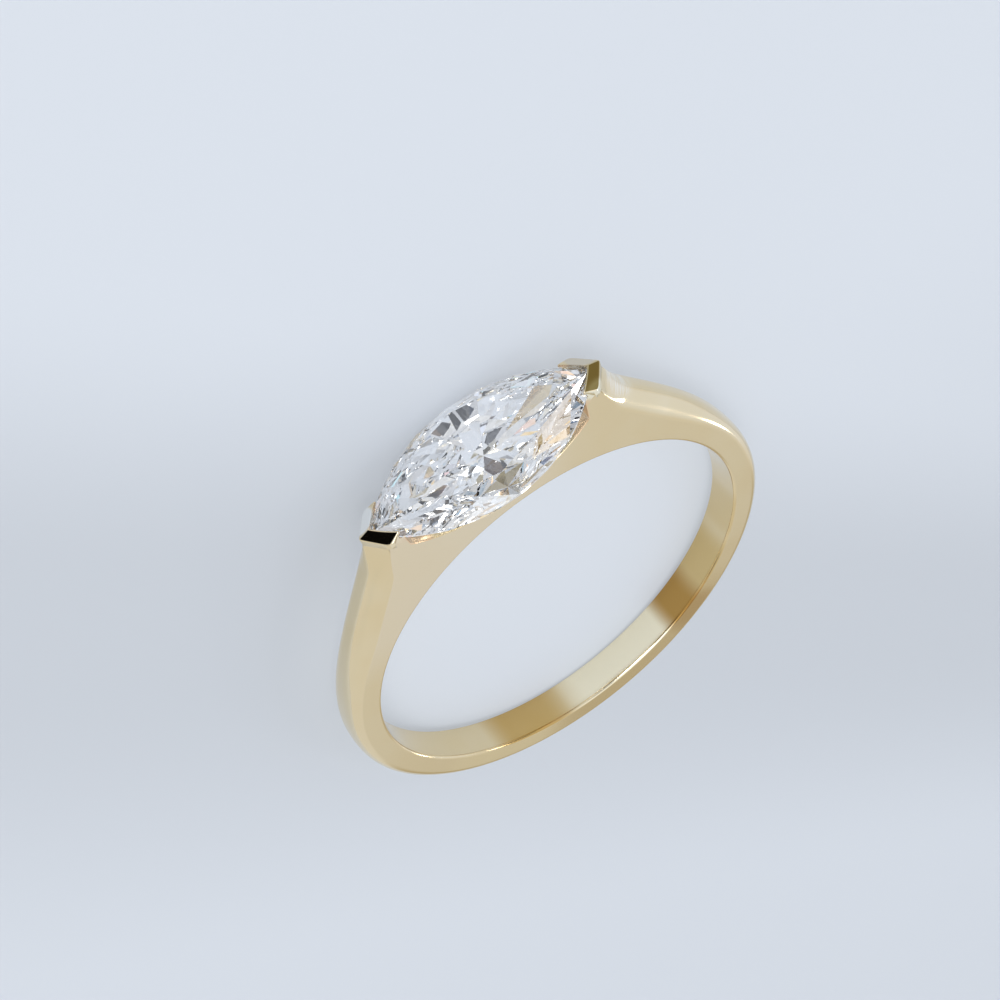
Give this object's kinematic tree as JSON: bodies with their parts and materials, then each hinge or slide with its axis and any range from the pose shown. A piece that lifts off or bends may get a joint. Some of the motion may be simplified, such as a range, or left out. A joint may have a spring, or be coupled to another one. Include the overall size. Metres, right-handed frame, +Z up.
{
  "type": "marquise solitaire ring",
  "caption": "Slim yellow gold ring with tapering shoulders and V-shaped end prongs that hold a faceted marquise stone by its tips.",
  "frame": {"origin": "middle of the ring's footprint, on the surface that it lies on", "axes": "+Z up from that surface, +Y from the stone towards the far side of the shank, +X along the stone. The ring lies on its side, and the finger's axis leans 4.2 degrees from +Z towards +Y."},
  "size_m": [0.02, 0.0227, 0.0047],
  "materials": {
    "gold": "polished",
    "stone": "clear, faceted"
  },
  "bodies": {
    "root": {"band": "gold", "stone": "stone"}
  },
  "joints": []
}
